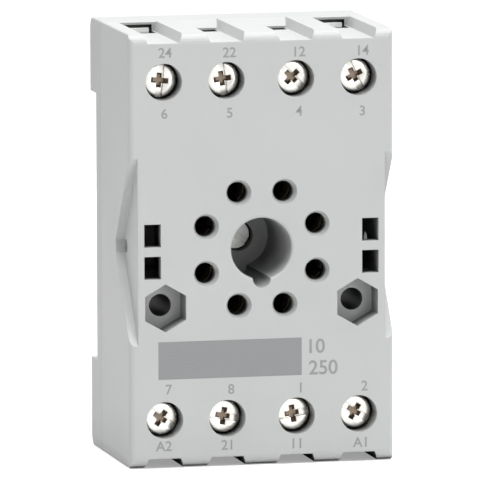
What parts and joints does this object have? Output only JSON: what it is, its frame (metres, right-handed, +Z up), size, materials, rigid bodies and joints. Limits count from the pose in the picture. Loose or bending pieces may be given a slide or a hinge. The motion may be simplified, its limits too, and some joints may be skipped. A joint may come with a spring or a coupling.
{
  "type": "relay socket",
  "caption": "Plug-in relay socket for an octal base, with cage-clamp screw terminals, a sprung rail latch and holes for panel screws.",
  "frame": {"origin": "centre of the lower end, which the socket stands on", "axes": "+X to the right seen from the face, +Y from the face into the socket, +Z up along the socket"},
  "size_m": [0.0384, 0.0254, 0.062],
  "materials": {
    "housing_plastic": "light grey moulded thermoplastic, fine satin grain",
    "base_plastic": "light grey moulded thermoplastic, fine satin grain",
    "latch_plastic": "light grey moulded thermoplastic",
    "spring_steel": "drawn spring wire",
    "assembly_screw_steel": "zinc plated",
    "contact_brass": "stamped brass, thinly tin plated",
    "clamp_steel": "zinc plated steel",
    "screw_steel": "bright nickel plated steel"
  },
  "bodies": {
    "socket": {"housing": "housing_plastic", "base": "base_plastic", "assembly_screw": "assembly_screw_steel", "latch_spring": "spring_steel", "contact_1": "contact_brass", "contact_2": "contact_brass", "contact_3": "contact_brass", "contact_4": "contact_brass", "contact_5": "contact_brass", "contact_6": "contact_brass", "contact_7": "contact_brass", "contact_8": "contact_brass"},
    "latch": {"rail_latch": "latch_plastic"},
    "screw_1": {"terminal_screw_1": "screw_steel"},
    "cage_1": {"clamp_cage_1": "clamp_steel"},
    "screw_2": {"terminal_screw_2": "screw_steel"},
    "cage_2": {"clamp_cage_2": "clamp_steel"},
    "screw_3": {"terminal_screw_3": "screw_steel"},
    "cage_3": {"clamp_cage_3": "clamp_steel"},
    "screw_4": {"terminal_screw_4": "screw_steel"},
    "cage_4": {"clamp_cage_4": "clamp_steel"},
    "screw_5": {"terminal_screw_5": "screw_steel"},
    "cage_5": {"clamp_cage_5": "clamp_steel"},
    "screw_6": {"terminal_screw_6": "screw_steel"},
    "cage_6": {"clamp_cage_6": "clamp_steel"},
    "screw_7": {"terminal_screw_7": "screw_steel"},
    "cage_7": {"clamp_cage_7": "clamp_steel"},
    "screw_8": {"terminal_screw_8": "screw_steel"},
    "cage_8": {"clamp_cage_8": "clamp_steel"}
  },
  "joints": [
    {"name": "latch_slide", "type": "slide", "parent": "socket", "child": "latch", "axis": [0, 0, -1], "range_m": [0, 0.0025], "stiffness_N_per_m": 1500, "springref_m": -0.0015, "deforming": ["latch_spring"]},
    {"name": "screw_turn_1", "type": "hinge", "parent": "socket", "child": "screw_1", "pos_m": [0.00506, -0.01275, 0.00685], "axis": [0, -1, 0], "range_deg": [0, 2295]},
    {"name": "cage_open_1", "type": "slide", "parent": "socket", "child": "cage_1", "axis": [0, 1, 0], "range_m": [0, 0.0032]},
    {"name": "screw_turn_2", "type": "hinge", "parent": "socket", "child": "screw_2", "pos_m": [0.01417, -0.01275, 0.00685], "axis": [0, -1, 0], "range_deg": [0, 2295]},
    {"name": "cage_open_2", "type": "slide", "parent": "socket", "child": "cage_2", "axis": [0, 1, 0], "range_m": [0, 0.0032]},
    {"name": "screw_turn_3", "type": "hinge", "parent": "socket", "child": "screw_3", "pos_m": [0.01417, -0.01275, 0.05515], "axis": [0, -1, 0], "range_deg": [0, 2295]},
    {"name": "cage_open_3", "type": "slide", "parent": "socket", "child": "cage_3", "axis": [0, 1, 0], "range_m": [0, 0.0032]},
    {"name": "screw_turn_4", "type": "hinge", "parent": "socket", "child": "screw_4", "pos_m": [0.00506, -0.01275, 0.05515], "axis": [0, -1, 0], "range_deg": [0, 2295]},
    {"name": "cage_open_4", "type": "slide", "parent": "socket", "child": "cage_4", "axis": [0, 1, 0], "range_m": [0, 0.0032]},
    {"name": "screw_turn_5", "type": "hinge", "parent": "socket", "child": "screw_5", "pos_m": [-0.00506, -0.01275, 0.05515], "axis": [0, -1, 0], "range_deg": [0, 2295]},
    {"name": "cage_open_5", "type": "slide", "parent": "socket", "child": "cage_5", "axis": [0, 1, 0], "range_m": [0, 0.0032]},
    {"name": "screw_turn_6", "type": "hinge", "parent": "socket", "child": "screw_6", "pos_m": [-0.01417, -0.01275, 0.05515], "axis": [0, -1, 0], "range_deg": [0, 2295]},
    {"name": "cage_open_6", "type": "slide", "parent": "socket", "child": "cage_6", "axis": [0, 1, 0], "range_m": [0, 0.0032]},
    {"name": "screw_turn_7", "type": "hinge", "parent": "socket", "child": "screw_7", "pos_m": [-0.01417, -0.01275, 0.00685], "axis": [0, -1, 0], "range_deg": [0, 2295]},
    {"name": "cage_open_7", "type": "slide", "parent": "socket", "child": "cage_7", "axis": [0, 1, 0], "range_m": [0, 0.0032]},
    {"name": "screw_turn_8", "type": "hinge", "parent": "socket", "child": "screw_8", "pos_m": [-0.00506, -0.01275, 0.00685], "axis": [0, -1, 0], "range_deg": [0, 2295]},
    {"name": "cage_open_8", "type": "slide", "parent": "socket", "child": "cage_8", "axis": [0, 1, 0], "range_m": [0, 0.0032]}
  ],
  "couplings": [
    {"joint": "cage_open_1", "follows": "screw_turn_1", "m_per_rad": 0.000079577},
    {"joint": "cage_open_2", "follows": "screw_turn_2", "m_per_rad": 0.000079577},
    {"joint": "cage_open_3", "follows": "screw_turn_3", "m_per_rad": 0.000079577},
    {"joint": "cage_open_4", "follows": "screw_turn_4", "m_per_rad": 0.000079577},
    {"joint": "cage_open_5", "follows": "screw_turn_5", "m_per_rad": 0.000079577},
    {"joint": "cage_open_6", "follows": "screw_turn_6", "m_per_rad": 0.000079577},
    {"joint": "cage_open_7", "follows": "screw_turn_7", "m_per_rad": 0.000079577},
    {"joint": "cage_open_8", "follows": "screw_turn_8", "m_per_rad": 0.000079577}
  ]
}
